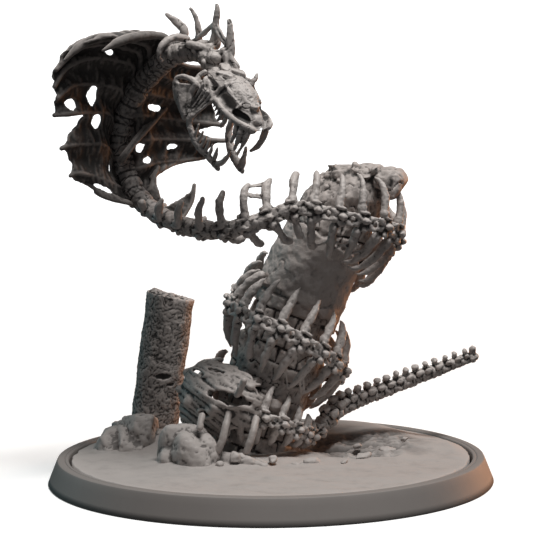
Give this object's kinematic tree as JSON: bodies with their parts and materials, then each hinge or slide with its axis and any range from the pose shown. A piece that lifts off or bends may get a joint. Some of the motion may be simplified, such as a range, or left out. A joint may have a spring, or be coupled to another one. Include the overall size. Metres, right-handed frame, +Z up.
{
  "type": "hooded snake skeleton display miniature on a round base",
  "caption": "Cast display miniature: the skeleton of a hooded snake with a torn hood and open jaws, wound round a leaning broken stone column beside a stump, on a round base.",
  "frame": {"origin": "middle of the base's underside", "axes": "+Z up, -Y to the front of the miniature, +X towards the tail"},
  "size_m": [0.06, 0.06, 0.0636],
  "materials": {
    "bone": "matte grey-brown cast resin, sculpted as bone",
    "skin": "matte cast resin, sculpted as dried torn skin",
    "stone": "matte cast resin, sculpted as cracked stone",
    "earth": "matte cast resin, sculpted as sand and rubble",
    "rim": "smooth matte moulded rim"
  },
  "bodies": {
    "root": {"base_rim": "rim", "ground": "earth", "main_column": "stone", "stump_column": "stone", "tail": "bone", "coil_1_right": "bone", "coil_1_left": "bone", "coil_2_right": "bone", "coil_2_left": "bone", "coil_3_right": "bone", "coil_3_left": "bone", "coil_4_right": "bone", "coil_4_left": "bone", "coil_5_right": "bone", "coil_5_left": "bone", "coil_6_right": "bone", "coil_6_left": "bone", "coil_7_right": "bone", "coil_7_left": "bone", "coil_8_right": "bone", "coil_8_left": "bone", "neck_1_right": "bone", "neck_1_left": "bone", "neck_2_right": "bone", "neck_2_left": "bone", "hood_spine_lower": "bone", "hood_spine_upper": "bone", "hood_right": "skin", "hood_left": "skin", "skin_patch": "skin", "skull": "bone", "jaw_left": "bone", "jaw_right": "bone"}
  },
  "joints": []
}
